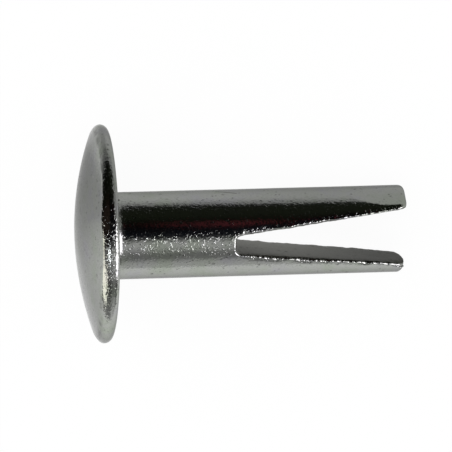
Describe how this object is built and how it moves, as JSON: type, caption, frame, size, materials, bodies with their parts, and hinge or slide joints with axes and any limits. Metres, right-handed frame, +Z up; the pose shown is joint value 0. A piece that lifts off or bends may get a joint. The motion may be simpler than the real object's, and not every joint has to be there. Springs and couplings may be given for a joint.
{
  "type": "split rivet",
  "caption": "Bifurcated rivet with a low crowned head and a plain shank, notched from the end into prongs that spread and clinch behind the work.",
  "frame": {"origin": "on the floor under the middle of the rivet as it lies; the shank's axis is in the XZ plane", "axes": "+Z up from the floor, +X along the lying rivet from the head towards the tips of the prongs, +Y towards the thicker prong"},
  "size_m": [0.0138, 0.009, 0.0087],
  "materials": {
    "nickel_plate": "bright nickel plate over cold-headed steel, slightly satin, with fine pits and rubbed edges"
  },
  "bodies": {
    "root": {"rivet": "nickel_plate"}
  },
  "joints": []
}
